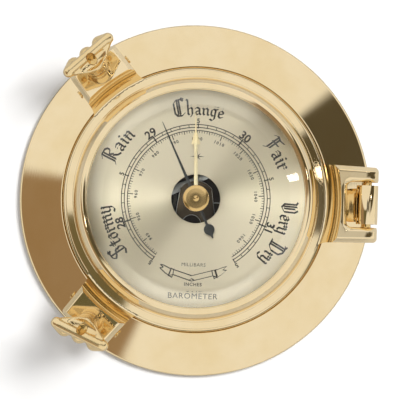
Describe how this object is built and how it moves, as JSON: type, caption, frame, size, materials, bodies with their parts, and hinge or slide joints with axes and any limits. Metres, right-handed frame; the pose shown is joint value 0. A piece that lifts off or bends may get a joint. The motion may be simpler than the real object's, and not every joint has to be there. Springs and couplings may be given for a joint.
{
  "type": "porthole barometer",
  "caption": "Round brass porthole case with a hinged, glazed door held by wing nuts, over an aneroid barometer with a brushed dial, a black hand and a set hand.",
  "frame": {"origin": "on the dial's axis, in the plane that the flange's back and the back cover lie in", "axes": "+Z is the way the dial faces, +Y is 12 o'clock on the dial, +X is towards the door's hinge"},
  "size_m": [0.1474, 0.146, 0.0394],
  "materials": {
    "polished_brass": "polished and lacquered",
    "turned_brass": "fine turned",
    "spun_brass": "spun, matt",
    "screw_brass": "turned",
    "dial_metal": "champagne, brushed in circles",
    "black_enamel": "satin black",
    "plate_steel": "satin",
    "blued_steel": "blued spring steel",
    "nickel_silver": "nickelled",
    "steel_screw": "turned",
    "clear_glass": "polished, bevelled",
    "gasket_rubber": "matt"
  },
  "bodies": {
    "case": {"flange_ring": "polished_brass", "case_drum": "spun_brass", "back_cover": "spun_brass", "back_cover_screws": "screw_brass", "hinge_bracket": "polished_brass", "hinge_bracket_screws": "screw_brass", "dial": "dial_metal", "dial_retaining_ring": "turned_brass", "movement_plate": "plate_steel", "movement_screws": "steel_screw", "aneroid_capsule": "nickel_silver", "main_spring": "blued_steel", "main_spring_screws": "steel_screw", "bridge_pillars": "turned_brass", "arbor_bridge": "nickel_silver", "bridge_screws": "steel_screw", "arbor_foot": "turned_brass", "rocker_bearings": "turned_brass", "hairspring": "blued_steel"},
    "door": {"door_ring": "polished_brass", "glass": "clear_glass", "glass_gasket": "gasket_rubber", "glass_retaining_ring": "turned_brass", "hinge_pin": "turned_brass", "upper_cross_pin": "turned_brass", "lower_cross_pin": "turned_brass", "upper_dog_washer": "turned_brass", "lower_dog_washer": "turned_brass", "set_hand_bush": "turned_brass"},
    "upper_dog": {"upper_dog_stud": "turned_brass", "upper_wing_nut": "polished_brass"},
    "lower_dog": {"lower_dog_stud": "turned_brass", "lower_wing_nut": "polished_brass"},
    "set_hand": {"set_spindle": "turned_brass", "set_knob": "polished_brass", "set_hand": "polished_brass"},
    "hand": {"needle_arbor": "steel_screw", "indicating_hand": "black_enamel"},
    "chain": {"chain": "steel_screw"},
    "rocker": {"rocking_shaft": "steel_screw"},
    "lever": {"pressure_lever": "nickel_silver"},
    "adjuster": {"adjusting_screw": "screw_brass"}
  },
  "joints": [
    {"name": "door_hinge", "type": "hinge", "parent": "case", "child": "door", "pos_m": [0.07, 0, 0.01806], "axis": [0, 1, 0], "range_deg": [0, 110]},
    {"name": "upper_dog_turn", "type": "hinge", "parent": "door", "child": "upper_dog", "pos_m": [-0.04179, 0.0516, 0.02332], "axis": [-0.1308, 0.1616, 0.9781], "continuous": true},
    {"name": "lower_dog_turn", "type": "hinge", "parent": "door", "child": "lower_dog", "pos_m": [-0.04179, -0.0516, 0.02332], "axis": [-0.1308, -0.1616, 0.9781], "continuous": true},
    {"name": "set_hand_turn", "type": "hinge", "parent": "door", "child": "set_hand", "pos_m": [0, 0, 0.0258], "axis": [0, 0, 1], "continuous": true},
    {"name": "hand_turn", "type": "hinge", "parent": "case", "child": "hand", "pos_m": [0, 0, 0.018], "axis": [0, 0, 1], "range_deg": [-173, 122], "stiffness_Nm_per_rad": 0.000005},
    {"name": "chain_draw", "type": "slide", "parent": "case", "child": "chain", "axis": [1, 0, 0], "range_m": [-0.003, 0.0022]},
    {"name": "rocker_turn", "type": "hinge", "parent": "case", "child": "rocker", "pos_m": [0.019, 0, 0.0063], "axis": [0, 1, 0], "range_deg": [-28, 20]},
    {"name": "lever_lift", "type": "hinge", "parent": "case", "child": "lever", "pos_m": [-0.0174, 0, 0.0122], "axis": [0, 1, 0], "range_deg": [-1.51, 2.15], "stiffness_Nm_per_rad": 0.0001, "springref_deg": -60.73},
    {"name": "adjuster_turn", "type": "hinge", "parent": "case", "child": "adjuster", "pos_m": [-0.019, 0, 0.001], "axis": [0, 0, 1], "continuous": true}
  ],
  "couplings": [
    {"joint": "chain_draw", "follows": "lever_lift", "m_per_rad": -0.072365},
    {"joint": "rocker_turn", "follows": "lever_lift", "ratio": -11.133},
    {"joint": "hand_turn", "follows": "lever_lift", "ratio": -80.405}
  ]
}
